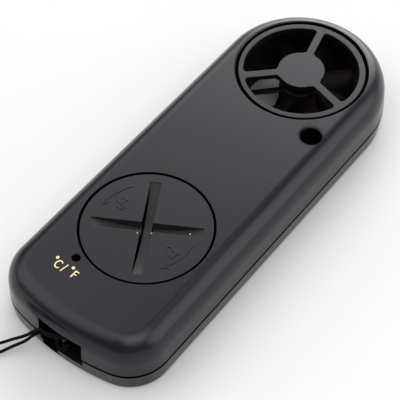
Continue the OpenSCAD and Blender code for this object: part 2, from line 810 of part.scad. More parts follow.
module cord_ferrule() color(steel) in_ferrule_frame(0) difference() {
    union() {
        block(0.4, 7.6, -2.5, 2.5, 0.15, 7.1);
        block(0, 8, -2.1, 2.1, 0.55, 6.7);
    }
    // two cord holes, and the mouth for the webbing
    for (y = [-cord_side, cord_side])
        translate([-1, y, cord_z]) rotate([0, 90, 0]) cylinder(r = 0.65, h = 3);
    block(4.6, 9, -1.9, 1.9, 0.3, 6.95);
}

// Centre line of the wrist loop: a teardrop that starts and ends in the ferrule.
function loop_point(angle) = [5.6 + loop_length * (1 - cos(angle)) / 2,
    loop_width / 2 * sin(angle) * pow(sin(angle / 2), 1.4)];
function loop_normal(angle) =
    let (step = loop_point(angle + 0.5) - loop_point(angle - 0.5))
    [-step[1], step[0]] / norm(step);

loop_start = 30;
loop_angles = [for (i = [0:60]) loop_start + (360 - 2 * loop_start) * i / 60];
web_x = 5;
web_y = 0.25 + web_thick / 2;

function web_edge(side) = [for (angle = loop_angles)
    loop_point(angle) + side * loop_normal(angle) * web_thick / 2];

module wrist_strap() color(darker) in_ferrule_frame(0.4)
    linear_extrude(web_height) polygon(concat(
        [[web_x, web_y + web_thick / 2]],
        web_edge(1),
        [[web_x, -web_y - web_thick / 2], [web_x, web_thick / 2 - web_y]],
        reverse(web_edge(-1)),
        [[web_x, web_y - web_thick / 2]]));

back_cover();
front_cover();
lcd_window();
lcd_glass();
lcd_holder();
lcd_backlight();
zebra_strip();
main_board();
controller_chip();
crystal_can();
chip_components();
hall_sensor();
thermistor();
battery_contact_positive();
battery_contact_negative();
coin_cell();
power_switch_case();
mode_switch_case();
unit_switch_case();
case_screws();
board_screws();
vane_frame_rear();
vane_frame_front();
bearing_rear();
bearing_front();
impeller();
impeller_shaft();
impeller_magnets();
battery_cover();
power_button();
power_switch_plunger();
mode_button();
mode_switch_plunger();
unit_switch_plunger();
lanyard_cord();
cord_ferrule();
wrist_strap();
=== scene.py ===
# Handheld vane anemometer with a wrist lanyard, lying face down on a white table.
# X runs across the body and Y along it: the vane duct is at +Y, the lanyard post at -Y.
# The back cover faces up (+Z); the display and keys face down (-Z).
# Geometry is written in millimetres and scaled by MM. Texture distances (bevel, bump,
# occlusion) are in metres, and texture scales are per metre.
import bpy, bmesh, math, random
from typing import NamedTuple
from mathutils import Vector, Matrix


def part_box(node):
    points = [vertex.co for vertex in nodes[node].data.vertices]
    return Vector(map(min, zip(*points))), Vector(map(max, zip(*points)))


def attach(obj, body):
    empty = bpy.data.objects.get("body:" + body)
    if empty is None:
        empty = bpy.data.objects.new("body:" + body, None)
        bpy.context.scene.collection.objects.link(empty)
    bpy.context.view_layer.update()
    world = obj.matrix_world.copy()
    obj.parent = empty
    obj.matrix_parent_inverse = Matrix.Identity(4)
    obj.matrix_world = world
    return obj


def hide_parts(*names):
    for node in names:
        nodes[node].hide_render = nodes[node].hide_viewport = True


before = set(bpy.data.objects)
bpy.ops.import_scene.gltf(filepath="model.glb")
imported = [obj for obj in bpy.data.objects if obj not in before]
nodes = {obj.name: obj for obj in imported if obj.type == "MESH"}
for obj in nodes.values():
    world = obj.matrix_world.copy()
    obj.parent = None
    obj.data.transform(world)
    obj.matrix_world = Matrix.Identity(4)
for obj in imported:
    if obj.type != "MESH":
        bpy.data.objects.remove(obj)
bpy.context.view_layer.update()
scene = bpy.context.scene
MM = 0.001


# ---------------------------------------------------------------- shader node helpers
class Net:
    """Short way to write the nodes of a material or world."""

    def __init__(self, owner):
        owner.use_nodes = True
        self.owner = owner
        self.tree = owner.node_tree
        self.tree.nodes.clear()

    def put(self, node, key, value):
        socket = node.inputs[int(key)] if key.isdigit() else node.inputs[key]
        if isinstance(value, bpy.types.NodeSocket):
            self.tree.links.new(value, socket)
        elif isinstance(value, (tuple, list)) and len(value) == 3 and socket.type == "RGBA":
            socket.default_value = (*value, 1.0)
        else:
            socket.default_value = value

    def node(self, kind, props=None, **inputs):
        """New node; underscores in input names stand for spaces."""
        node = self.tree.nodes.new(kind)
        for key, value in (props or {}).items():
            setattr(node, key, value)
        for key, value in inputs.items():
            self.put(node, key.replace("_", " "), value)
        return node

    def math(self, operation, a, b=0.5, clamp=False):
        node = self.node("ShaderNodeMath", {"operation": operation, "use_clamp": clamp})
        self.put(node, "0", a)
        self.put(node, "1", b)
        return node.outputs[0]

    def add(self, a, b, clamp=False):
        return self.math("ADD", a, b, clamp)

    def sub(self, a, b, clamp=False):
        return self.math("SUBTRACT", a, b, clamp)

    def mul(self, a, b):
        return self.math("MULTIPLY", a, b)

    def spread(self, base, amount, by, clamp=False):
        """base + amount * by"""
        return self.add(base, self.mul(by, amount), clamp)

    def vector(self, operation, a, b=None):
        node = self.node("ShaderNodeVectorMath", {"operation": operation})
        self.put(node, "0", a)
        if b is not None:
            self.put(node, "1", b)
        return node.outputs["Value" if operation in ("DOT_PRODUCT", "LENGTH") else "Vector"]

    def mix(self, factor, a, b):
        """Colour mix; 6 and 7 are the node's two colour inputs."""
        node = self.node("ShaderNodeMix", {"data_type": "RGBA"}, Factor=factor)
        self.put(node, "6", a)
        self.put(node, "7", b)
        return node.outputs[2]

    def fade(self, tone, toward, amount, by):
        return self.mix(self.mul(by, amount), tone, toward)

    def noise(self, point, scale, detail=2.0, rough=0.5, distortion=0.0):
        return self.node("ShaderNodeTexNoise", Vector=point, Scale=scale, Detail=detail,
                         Roughness=rough, Distortion=distortion).outputs[0]

    def ramp(self, value, low, high, start=0.0, end=1.0):
        """Smooth step from start at low to end at high."""
        node = self.node("ShaderNodeMapRange", {"interpolation_type": "SMOOTHSTEP"})
        for key, number in (("Value", value), ("From Min", low), ("From Max", high),
                            ("To Min", start), ("To Max", end)):
            self.put(node, key, number)
        return node.outputs[0]

    def coords(self, which="Object"):
        return self.node("ShaderNodeTexCoord").outputs[which]

    def stretch(self, point, scale):
        return self.node("ShaderNodeMapping", Vector=point, Scale=scale).outputs[0]

    def bevel(self, radius, samples=4):
        return self.node("ShaderNodeBevel", {"samples": samples}, Radius=radius).outputs[0]

    def bump(self, height, strength, distance, normal=None):
        node = self.node("ShaderNodeBump", Strength=strength, Distance=distance, Height=height)
        if normal is not None:
            self.put(node, "Normal", normal)
        return node.outputs[0]

    def principled(self, color, rough, normal, metallic=0.0, spec=0.5, **extra):
        return self.node("ShaderNodeBsdfPrincipled", Base_Color=color, Roughness=rough,
                         Metallic=metallic, Specular_IOR_Level=spec, Normal=normal,
                         **extra).outputs[0]

    def mix_shader(self, factor, first, second):
        node = self.node("ShaderNodeMixShader")
        for key, value in (("0", factor), ("1", first), ("2", second)):
            self.put(node, key, value)
        return node.outputs[0]

    def dull(self, color, rough, normal, gloss, tint=(1.0, 1.0, 1.0)):
        """A matt dark surface with only a trace of shine."""
        matt = self.node("ShaderNodeBsdfDiffuse", Color=color, Roughness=0.6, Normal=normal)
        shine = self.node("ShaderNodeBsdfGlossy", Color=tint, Roughness=rough, Normal=normal)
        return self.mix_shader(gloss, matt.outputs[0], shine.outputs[0])

    def finish(self, shader, output="ShaderNodeOutputMaterial"):
        self.node(output, Surface=shader)
        return self.owner


def new_net(name):
    return Net(bpy.data.materials.new(name))


def scaled(color, factor):
    return tuple(min(1.0, x * factor) for x in color)


# ---------------------------------------------------------------- moulded plastic
class Ring(NamedTuple):
    """Ring of painted shade round a vertical axis, mm."""
    x: float
    y: float
    inner: float
    outer: float
    strength: float = 1.0


class Layer(NamedTuple):
    """Band of painted shade between two heights, mm."""
    inner: float
    outer: float
    strength: float = 1.0


class Slot(NamedTuple):
    """Slot with shadow along both long sides, mm."""
    x: float
    y: float
    turn: float          # long axis from +X, degrees
    half_width: float
    half_length: float
    shadow_width: float  # at mid length, tapering to the ends
    top: float           # height below which the shadow lies


class PaintedShading(NamedTuple):
    """Painted shade in shut lines, slots and hollows, and a painted paler slot floor."""
    reach: float               # occlusion distance, m
    marks: tuple = ()          # Ring and Layer
    open_at: tuple = (0.12, 0.72)  # occlusion values taken as fully shaded and fully unshaded
    deep: tuple = None         # (low z, high z, unshaded share at low z): painted shade deeper down
    sunk: tuple = None         # (low z, high z, added roughness): scuffed slot floor, rougher and painted paler
    slot: Slot = None


def mark_mask(net, mark, point, xyz):
    """1 inside the mark, with soft limits."""
    feather = 0.05
    across, along, height = xyz
    if isinstance(mark, Layer):
        value = height
    else:
        flat = net.node("ShaderNodeCombineXYZ", X=across, Y=along).outputs[0]
        offset = net.vector("SUBTRACT", flat, (mark.x * MM, mark.y * MM, 0.0))
        value = net.vector("LENGTH", offset)
    return net.mul(
        net.ramp(value, low=(mark.inner - feather) * MM, high=(mark.inner + feather) * MM),
        net.ramp(value, low=(mark.outer + feather) * MM, high=(mark.outer - feather) * MM))


def slot_mask(net, slot, point, height):
    """1 in the tapering shadows along the sides of the slot."""
    turn = math.radians(slot.turn)
    offset = net.vector("SUBTRACT", point, (slot.x * MM, slot.y * MM, 0.0))
    along = net.math("ABSOLUTE", net.vector(
        "DOT_PRODUCT", offset, (math.cos(turn), math.sin(turn), 0.0)))
    along = net.mul(along, 1 / (slot.half_length * MM))
    side = net.math("ABSOLUTE", net.vector(
        "DOT_PRODUCT", offset, (-math.sin(turn), math.cos(turn), 0.0)))
    taper = net.mul(net.sub(1.0, net.mul(along, along), clamp=True), slot.shadow_width * MM)
    past = net.sub(net.add(side, taper), slot.half_width * MM)
    inside = net.mul(
        net.ramp(past, low=-0.06 * MM, high=0.06 * MM),
        net.ramp(side, low=(slot.half_width + 0.05) * MM, high=(slot.half_width + 0.02) * MM))
    return net.mul(inside, net.ramp(height, low=slot.top * MM, high=(slot.top - 0.05) * MM))


def unshaded_mask(net, painted_shading, point, xyz):
    """1 on open surfaces, 0 where shade is painted."""
    occlusion = net.node("ShaderNodeAmbientOcclusion", {"samples": 10, "only_local": True},
                         Distance=painted_shading.reach).outputs["AO"]
    unshaded = net.ramp(occlusion, *painted_shading.open_at)
    for mark in painted_shading.marks:
        inside = mark_mask(net, mark, point, xyz)
        unshaded = net.mul(unshaded, net.sub(1.0, net.mul(inside, mark.strength)))
    if painted_shading.slot:
        unshaded = net.mul(unshaded, net.sub(1.0, slot_mask(net, painted_shading.slot, point, xyz[2])))
    if painted_shading.deep:
        low, high, kept = painted_shading.deep
        unshaded = net.mul(unshaded, net.ramp(xyz[2], low * MM, high * MM, start=kept))
    return unshaded


def moulded(name, color, rough=0.42, edge=0.00018, wear=0.35, spec=0.5, coat=0.0, painted_shading=None):
    """Spark-eroded moulding: fine grain, cloudy gloss, softened and lightly rubbed edges."""
    grain = 7000.0
    tone_spread = 0.12
    mottle = 0.05       # roughness swing of the broad patches
    net = new_net(name)
    point = net.coords()
    fine = net.noise(point, scale=grain, detail=3.0, rough=0.62)
    medium = net.noise(point, scale=grain * 0.21)
    cloud = net.noise(point, scale=95.0, detail=3.0, rough=0.55)
    patch = net.noise(point, scale=26.0, distortion=0.4)

    # edges are where the bevelled normal leaves the true one
    soft = net.bevel(edge, samples=6)
    true_normal = net.node("ShaderNodeNewGeometry").outputs["Normal"]
    rub = net.ramp(net.vector("DOT_PRODUCT", soft, true_normal), low=0.995, high=0.86)
    breakup = net.noise(point, scale=800.0, detail=4.0, rough=0.6)
    rub = net.mul(rub, net.ramp(breakup, low=0.38, high=0.66, start=0.15))
    rub = net.mul(rub, wear)

    tone = net.mix(cloud, scaled(color, 1 - tone_spread), scaled(color, 1 + tone_spread))
    tone = net.fade(tone, toward=scaled(color, 1.25), amount=0.25, by=patch)
    speck = net.ramp(net.noise(point, scale=2600.0, detail=1.0), low=0.74, high=0.80, end=0.35)
    tone = net.mix(speck, tone, scaled(color, 1.8))
    tone = net.mix(rub, tone, tuple(min(1, x * 2.4 + 0.02) for x in color))
    gloss = net.spread(rough - mottle, amount=2 * mottle, by=patch)
    gloss = net.spread(gloss, amount=0.12, by=net.sub(medium, 0.5))
    gloss = net.sub(gloss, net.mul(rub, 0.14), clamp=True)  # rubbing polishes the edges
    relief = net.spread(net.mul(fine, 0.75), amount=0.6, by=medium)
    normal = net.bump(relief, strength=0.55, distance=0.000006, normal=soft)

    # Painted shade: colour darkens and shine fades where occlusion or a mark puts shade.
    if painted_shading:
        xyz = tuple(net.node("ShaderNodeSeparateXYZ", Vector=point).outputs)
        unshaded = unshaded_mask(net, painted_shading, point, xyz)
        if painted_shading.sunk:
            low, high, matt = painted_shading.sunk
            sunk = net.ramp(xyz[2], high * MM, low * MM)
            gloss = net.spread(gloss, matt, by=sunk, clamp=True)
            # painted light: the sunk slot floor is scuffed and rougher, and painted a paler tone
            pale_painted_light = (0.0115, 0.0114, 0.0108)
            tone = net.mix(sunk, tone, pale_painted_light)
        # painted shade: colour falls to 0.12 of itself and the reflection fades where unshaded is
        # low
        tone = net.mix(unshaded, scaled(color, 0.12), tone)
        spec = net.mul(unshaded, spec)
        gloss = net.spread(gloss, amount=0.25, by=net.sub(1.0, unshaded), clamp=True)
    extra = {"Coat_Weight": coat, "Coat_Roughness": 0.12} if coat else {}
    return net.finish(net.principled(tone, gloss, normal, spec=spec, **extra))


# ---------------------------------------------------------------- metals
def metal(name, color, rough, brushed=(1.0, 1.0, 12.0)):
    net = new_net(name)
    point = net.coords()
    lines = net.noise(net.stretch(point, brushed), scale=2500.0, detail=3.0, rough=0.6)
    cloud = net.noise(point, scale=450.0, detail=3.0)
    tarnish = 0.15
    tone = net.mix(cloud, scaled(color, 1 - tarnish), scaled(color, 1.06))
    gloss = net.spread(rough - 0.08, amount=0.2, by=lines)
    normal = net.bump(lines, strength=0.35, distance=0.000006, normal=net.bevel(0.00012))
    return net.finish(net.principled(tone, gloss, normal, metallic=1.0))


def cell_material():
    """Steel can with turning rings round its centre."""
    net = new_net("cell_can")
    low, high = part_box("coin_cell")
    offset = net.vector("SUBTRACT", net.coords(), tuple((low + high) / 2))
    radius = net.mul(net.vector("LENGTH", offset), 6.0)  # packs the rings closer
    ring = net.noise(net.node("ShaderNodeCombineXYZ", X=radius).outputs[0], scale=900.0)
    tone = net.mix(ring, (0.5, 0.5, 0.52), (0.68, 0.68, 0.7))
    gloss = net.spread(0.2, amount=0.2, by=ring)
    normal = net.bump(ring, strength=0.3, distance=0.000006)
    return net.finish(net.principled(tone, gloss, normal, metallic=1.0))


# ---------------------------------------------------------------- other surfaces
def vane_material():
    """Smoked blade plastic with dust film and flow marks, coloured darker than the plastic to
    paint in the shade of the duct, with only a trace of gloss.
    """
    net = new_net("smoked_and_shaded_vane")
    point = net.coords()
    film = net.noise(point, scale=260.0, detail=4.0, rough=0.6)
    film = net.ramp(film, low=0.42, high=0.72)
    flow = net.noise(net.stretch(point, (1.0, 1.0, 6.0)), scale=330.0)
    # painted shade: blade tones darker than the smoked plastic shows in light
    tone = net.mix(flow, (0.0022, 0.0017, 0.0014), (0.0056, 0.0043, 0.0036))
    tone = net.fade(tone, toward=(0.02, 0.0165, 0.014), amount=0.10, by=film)
    gloss = net.spread(0.16, amount=0.22, by=film)
    normal = net.bump(flow, strength=0.15, distance=0.00002, normal=net.bevel(0.0001))
    return net.finish(net.dull(tone, gloss, normal, gloss=0.0026, tint=(1.0, 0.88, 0.78)))


def board_material():
    """Green solder resist over a brick pattern of tracks."""
    net = new_net("solder_resist")
    point = net.coords()
    cells = net.node("ShaderNodeTexBrick", {"offset": 0.5}, Vector=point, Scale=420.0,
                     Color1=(0, 0, 0), Color2=(0.4, 0.4, 0.4), Mortar=(1, 1, 1),
                     Mortar_Size=0.03)
    tracks = net.ramp(cells.outputs[0], low=0.3, high=0.8)
    tone = net.mix(tracks, (0.006, 0.055, 0.022), (0.012, 0.10, 0.035))
    cloud = net.noise(point, scale=140.0)
    tone = net.fade(tone, toward=(0.01, 0.08, 0.04), amount=0.3, by=cloud)
    normal = net.bump(tracks, strength=0.5, distance=0.00002)
    return net.finish(net.principled(tone, rough=0.3, normal=normal))


def glass_material():
    """Clear acrylic with dust, reflecting more at grazing angles."""
    net = new_net("window_acrylic")
    point = net.coords()
    dust = net.noise(point, scale=700.0, detail=5.0, rough=0.7)
    dust = net.ramp(dust, low=0.58, high=0.76)
    wave = net.noise(point, scale=60.0, detail=1.0)
    glossy = net.principled(color=(0.02, 0.022, 0.024),
                            rough=net.spread(0.07, amount=0.04, by=dust),
                            normal=net.bump(wave, strength=0.05, distance=0.00005))
    clear = net.node("ShaderNodeBsdfTransparent", Color=(0.86, 0.89, 0.88)).outputs[0]
    fresnel = net.node("ShaderNodeFresnel", IOR=1.48).outputs[0]
    factor = net.spread(fresnel, amount=0.02, by=dust, clamp=True)
    return net.finish(net.mix_shader(factor, clear, glossy))


def lcd_material():
    net = new_net("lcd_cell")
    point = net.coords()
    fine = net.noise(point, scale=5000.0)
    cloud = net.noise(point, scale=70.0)
    tone = net.mix(cloud, (0.20, 0.235, 0.19), (0.25, 0.285, 0.225))
    tone = net.fade(tone, toward=(0.16, 0.19, 0.15), amount=0.25, by=fine)
    gloss = net.spread(0.22, amount=0.1, by=fine)
    normal = net.bump(fine, strength=0.1, distance=0.000004)
    return net.finish(net.principled(tone, gloss, normal, spec=0.4))


def ink_material(name, color, rough=0.5):
    """Pad print: an uneven film."""
    net = new_net(name)
    film = net.noise(net.coords(), scale=4200.0, detail=3.0, rough=0.6)
    tone = net.mix(film, scaled(color, 0.82), scaled(color, 1.08))
    gloss = net.spread(rough - 0.08, amount=0.16, by=film)
    normal = net.bump(film, strength=0.4, distance=0.000005)
    return net.finish(net.principled(tone, gloss, normal))


def fabric_material(name, color, fibres, rough, sheen=0.0, gloss=0.0):
    """Yarn with fibre streaks; u runs along the yarn and v across it.

    With gloss it is a dull surface with a trace of shine, otherwise it has sheen.
    """
    net = new_net(name)
    streaks = net.stretch(net.coords("UV"), (fibres * 0.12, fibres, 1.0))
    point = net.coords()
    fibre = net.noise(streaks, scale=1.0, detail=3.0, rough=0.6)
    fuzz = net.noise(point, scale=9000.0, detail=3.0, rough=0.6)
    tone = net.mix(fibre, scaled(color, 0.55), scaled(color, 1.7))
    cloud = net.noise(point, scale=300.0)
    tone = net.fade(tone, toward=scaled(color, 1.5), amount=0.35, by=cloud)
    relief = net.spread(fibre, amount=0.7, by=fuzz)
    fuzzy_rough = net.spread(rough - 0.08, amount=0.16, by=fuzz)
    normal = net.bump(relief, strength=0.7, distance=0.00002)
    if gloss:
        return net.finish(net.dull(tone, fuzzy_rough, normal, gloss))
    return net.finish(net.principled(tone, fuzzy_rough, normal, spec=0.45, Sheen_Weight=sheen,
                                     Sheen_Roughness=0.4, Sheen_Tint=(0.6, 0.6, 0.65, 1.0)))


# ---------------------------------------------------------------- materials of the pieces
COVER_CENTRE = (0.0, -23.65)    # battery cover
# Painted shade: dark bands over the duct and cover shut lines and along the parting line, a patch
# that dulls the highlight on the port rim, and dark lines along the coin slot's sides.
DUCT_LINE = Ring(0.16, 33.37, inner=14.68, outer=15.42)
COVER_LINE = Ring(*COVER_CENTRE, inner=14.18, outer=14.78)
PARTING = Layer(4.44, 5.26)
PORT_RIM = Ring(13.27, 17.72, inner=-1.0, outer=2.75, strength=0.75)
COIN_SLOT = Slot(*COVER_CENTRE, turn=119.4, half_width=1.2, half_length=11.8,
                 shadow_width=0.34, top=14.44)

shell = moulded(
    "shell_moulding", (0.0050, 0.0044, 0.0080), rough=0.21, spec=0.36, edge=0.0001, wear=0.1,
    painted_shading=PaintedShading(reach=0.0011, marks=(DUCT_LINE, COVER_LINE, PARTING, PORT_RIM)))
shell_front = moulded(
    "front_shell_moulding", (0.0050, 0.0046, 0.0066), rough=0.24, spec=0.36, edge=0.0001,
    wear=0.1, painted_shading=PaintedShading(reach=0.0011, marks=(PARTING,)))
cover = moulded(
    "cover_moulding", (0.0050, 0.0045, 0.0082), rough=0.24, spec=0.36, edge=0.00007, wear=0.15,
    painted_shading=PaintedShading(reach=0.0009, marks=(COVER_LINE,), open_at=(0.38, 0.62),
              sunk=(14.28, 14.42, 0.42), slot=COIN_SLOT))
# painted shade on the grille: darker deeper down the duct and over the duct's shut line
grille = moulded(
    "grille_moulding", (0.0050, 0.0046, 0.0080), rough=0.24, spec=0.36, edge=0.00008, wear=0.15,
    painted_shading=PaintedShading(reach=0.0011, marks=(DUCT_LINE,), deep=(12.4, 13.6, 0.25)))
black = moulded("black_moulding", (0.012, 0.012, 0.012), rough=0.5, wear=0.1)
natural = moulded("natural_moulding", (0.55, 0.54, 0.5), rough=0.5, wear=0.0)
diffuser = moulded("diffuser_moulding", (0.72, 0.72, 0.7), rough=0.35, wear=0.0)
keys = moulded("key_moulding", (0.055, 0.055, 0.06), rough=0.5, wear=0.6)
plungers = moulded("plunger_moulding", (0.12, 0.09, 0.05), rough=0.45, wear=0.2)
ceramic = moulded("ceramic", (0.3, 0.2, 0.11), rough=0.55, wear=0.0)
zebra = moulded("zebra_rubber", (0.35, 0.06, 0.14), rough=0.6, wear=0.0)
steel = metal("spring_steel", (0.62, 0.62, 0.64), rough=0.28)
zinc = metal("zinc_screw", (0.5, 0.51, 0.53), rough=0.34, brushed=(1, 1, 1))
ground = metal("ground_shaft", (0.66, 0.67, 0.69), rough=0.16)
brass = metal("turned_brass", (0.62, 0.42, 0.16), rough=0.26, brushed=(1, 1, 8))
nickel = metal("nickel", (0.6, 0.59, 0.57), rough=0.2, brushed=(1, 1, 1))
crimped = metal("crimped_steel", (0.42, 0.43, 0.45), rough=0.3, brushed=(1, 1, 10))
cell_can = cell_material()
smoked_and_shaded = vane_material()
resist = board_material()
acrylic = glass_material()
lcd_cell = lcd_material()
gold_ink = ink_material("gold_print", (0.72, 0.63, 0.36), rough=0.45)
grey_ink = ink_material("grey_print", (0.42, 0.43, 0.45))
mask_ink = ink_material("mask_print", (0.012, 0.012, 0.014), rough=0.35)
segment_ink = ink_material("lcd_segment", (0.018, 0.02, 0.022), rough=0.35)
braid = fabric_material("braided_cord", (0.0026, 0.0025, 0.0027), fibres=30.0, rough=0.28,
                        gloss=0.007)
weave = fabric_material("woven_webbing", (0.012, 0.012, 0.0135), fibres=14.0, rough=0.66,
                        sheen=0.35)
epoxy = moulded("bead_epoxy", (0.02, 0.02, 0.024), rough=0.2, wear=0.0, coat=0.5)

# (material, pieces that wear it)
LOOKS = (
    (shell, ("back_cover",)),
    (shell_front, ("front_cover",)),
    (cover, ("battery_cover",)),
    (grille, ("vane_frame_rear", "vane_frame_front")),
    (smoked_and_shaded, ("impeller",)),
    (ground, ("impeller_shaft",)),
    (nickel, ("impeller_magnets",)),
    (brass, ("bearing_rear", "bearing_front")),
    (acrylic, ("lcd_window",)),
    (lcd_cell, ("lcd_glass",)),
    (natural, ("lcd_holder",)),
    (diffuser, ("lcd_backlight",)),
    (zebra, ("zebra_strip",)),
    (resist, ("main_board",)),
    (black, ("controller_chip", "hall_sensor", "power_switch_case", "mode_switch_case",
             "unit_switch_case")),
    (steel, ("crystal_can", "battery_contact_positive", "battery_contact_negative")),
    (ceramic, ("chip_components",)),
    (epoxy, ("thermistor",)),
    (cell_can, ("coin_cell",)),
    (zinc, ("case_screws", "board_screws")),
    (keys, ("power_button", "mode_button")),
    (plungers, ("power_switch_plunger", "mode_switch_plunger", "unit_switch_plunger")),
)


def assign(piece, material):
    slots = piece.data.materials
    if slots:
        for i in range(len(slots)):
            slots[i] = material
    else:
        slots.append(material)


for material, names in LOOKS:
    for name in names:
        assign(nodes[name], material)


# ---------------------------------------------------------------- smooth shading of the CAD meshes
def smooth_group(angle):
    """Node group: smooth faces, with edges sharper than angle (degrees) kept sharp."""
    group = bpy.data.node_groups.new("smooth_by_angle", "GeometryNodeTree")
    for way in ("INPUT", "OUTPUT"):
        group.interface.new_socket("Geometry", in_out=way, socket_type="NodeSocketGeometry")
    start, end = group.nodes.new("NodeGroupInput"), group.nodes.new("NodeGroupOutput")
    faces = group.nodes.new("GeometryNodeSetShadeSmooth")
    faces.domain = "FACE"
    edges = group.nodes.new("GeometryNodeSetShadeSmooth")
    edges.domain = "EDGE"
    edges.inputs["Shade Smooth"].default_value = False
    edge_angle = group.nodes.new("GeometryNodeInputMeshEdgeAngle")
    sharper = group.nodes.new("FunctionNodeCompare")
    sharper.data_type, sharper.operation = "FLOAT", "GREATER_THAN"
    sharper.inputs[1].default_value = math.radians(angle)
    group.links.new(start.outputs[0], faces.inputs["Geometry"])
    group.links.new(faces.outputs[0], edges.inputs["Geometry"])
    group.links.new(edge_angle.outputs["Unsigned Angle"], sharper.inputs[0])
    group.links.new(sharper.outputs[0], edges.inputs["Selection"])
    group.links.new(edges.outputs[0], end.inputs[0])
    return group


def soften(piece, group):
    attributes = piece.data.attributes
    if "custom_normal" in attributes:
        attributes.remove(attributes["custom_normal"])
    weld = piece.modifiers.new("weld", "WELD")
    weld.merge_threshold = 1e-6
    smooth = piece.modifiers.new("smooth", "NODES")
    smooth.node_group = group
    normals = piece.modifiers.new("normals", "WEIGHTED_NORMAL")
    normals.keep_sharp, normals.weight = True, 50


by_angle = smooth_group(24.0)
for piece in nodes.values():
    soften(piece, by_angle)


# ---------------------------------------------------------------- mesh helpers
def mesh_object(name, verts, faces, material, body, slot, smooth=True, uvs=None):
    """Object from points in mm, riding on a body; uvs holds one pair per vertex."""
    mesh = bpy.data.meshes.new(name)
    mesh.from_pydata([tuple(x * MM for x in vert) for vert in verts], [], faces)
    mesh.update()
    if uvs is not None:
        layer = mesh.uv_layers.new(name="UVMap")
        for loop in mesh.loops:
            layer.data[loop.index].uv = uvs[loop.vertex_index]
    bm = bmesh.new()
    bm.from_mesh(mesh)
    bmesh.ops.recalc_face_normals(bm, faces=bm.faces)
    bm.to_mesh(mesh)
    bm.free()
    for face in mesh.polygons:
        face.use_smooth = smooth
    piece = bpy.data.objects.new(name, mesh)
    scene.collection.objects.link(piece)
    mesh.materials.append(material)
    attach(piece, body)
    return piece


def is_ring(outline):
    """A ring is a pair [outer, inner] of outlines; a plain outline is a list of points."""
    return isinstance(outline[0][0], (list, tuple))


def prism(outlines, z0, z1):
    """Vertices and faces of closed prisms on plain outlines and rings."""
    verts, faces = [], []
    for outline in outlines:
        base = len(verts)
        if is_ring(outline):
            outer, inner = outline
            n = len(outer)
            for z in (z0, z1):
                verts += [(x, y, z) for x, y in outer] + [(x, y, z) for x, y in inner]
            low_out, low_in, high_out, high_in = (base + n * k for k in range(4))
            for i in range(n):
                j = (i + 1) % n
                faces += [(low_out + i, low_out + j, high_out + j, high_out + i),
                          (low_in + j, low_in + i, high_in + i, high_in + j),
                          (low_out + i, low_in + i, low_in + j, low_out + j),
                          (high_out + i, high_out + j, high_in + j, high_in + i)]
        else:
            n = len(outline)
            verts += [(x, y, z0) for x, y in outline] + [(x, y, z1) for x, y in outline]
            faces += [tuple(base + n + i for i in range(n)),
                      tuple(base + n - 1 - i for i in range(n))]
            faces += [(base + i, base + (i + 1) % n, base + n + (i + 1) % n, base + n + i)
                      for i in range(n)]
    return verts, faces


def printed(name, outlines, z0, z1, ink, body, slot):
    mesh_object(name, *prism(outlines, z0, z1), ink, body, slot, smooth=False)


def circle(x, y, radius):
    angles = [2 * math.pi * i / 24 for i in range(24)]
    return [(x + radius * math.cos(a), y + radius * math.sin(a)) for a in angles]


def annulus(x, y, outer, inner):
    return [circle(x, y, outer), circle(x, y, inner)]


def arc(x, y, radius_x, radius_y, start, end, steps):
    angles = [math.radians(start + (end - start) * i / steps) for i in range(steps + 1)]
    return [(x + radius_x * math.cos(a), y + radius_y * math.sin(a)) for a in angles]


def band(points, width):
    """Outline of a line through points, with round ends."""
    left, right = [], []
    for i, (x, y) in enumerate(points):
        before, after = points[max(0, i - 1)], points[min(len(points) - 1, i + 1)]
        along = Vector((after[0] - before[0], after[1] - before[1])).normalized()
        left.append((x - along.y * width / 2, y + along.x * width / 2))
        right.append((x + along.y * width / 2, y - along.x * width / 2))

    def cap(start, end):
        x, y = (start[0] + end[0]) / 2, (start[1] + end[1]) / 2
        first = math.atan2(start[1] - y, start[0] - x)
        angles = [first - math.pi * k / 6 for k in range(1, 6)]
        return [(x + width / 2 * math.cos(a), y + width / 2 * math.sin(a)) for a in angles]

    return left + cap(left[-1], right[-1]) + right[::-1] + cap(right[0], left[0])


def rounded_rect(y, half_x, half_y, radius):
    """Rectangle centred at (0, y), with six steps to a corner."""
    points = []
    for side_x, side_y, start in ((1, 1, 0), (-1, 1, 90), (-1, -1, 180), (1, -1, 270)):
        for i in range(7):
            angle = math.radians(start + 90 * i / 6)
            points.append((side_x * (half_x - radius) + radius * math.cos(angle),
                           y + side_y * (half_y - radius) + radius * math.sin(angle)))
    return points


# ---------------------------------------------------------------- marks on the back
back_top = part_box("back_cover")[1].z / MM


def unit_marks():
    """Degrees C / degrees F, printed near the -Y end of the back cover."""
    stroke = 0.27
    stem = -4.56    # left side of the F
    letter_f = [(stem, -43.14), (stem + stroke, -43.14), (stem + stroke, -42.28),
                (-3.72, -42.28), (-3.72, -42.03), (stem + stroke, -42.03),
                (stem + stroke, -41.44), (-3.56, -41.44), (-3.56, -41.18), (stem, -41.18)]
    marks = [
        annulus(-9.72, -41.0, outer=0.37, inner=0.11),
        band(arc(-8.42, -42.16, 0.70, 0.94, start=48, end=312, steps=22), stroke),
        band([(-7.12, -43.22), (-6.72, -41.14)], stroke * 0.85),
        annulus(-5.39, -41.05, outer=0.37, inner=0.11),
        letter_f,
    ]
    printed("unit_marks", marks, back_top - 0.002, back_top + 0.012, gold_ink, "case",
            "shell_plastic")


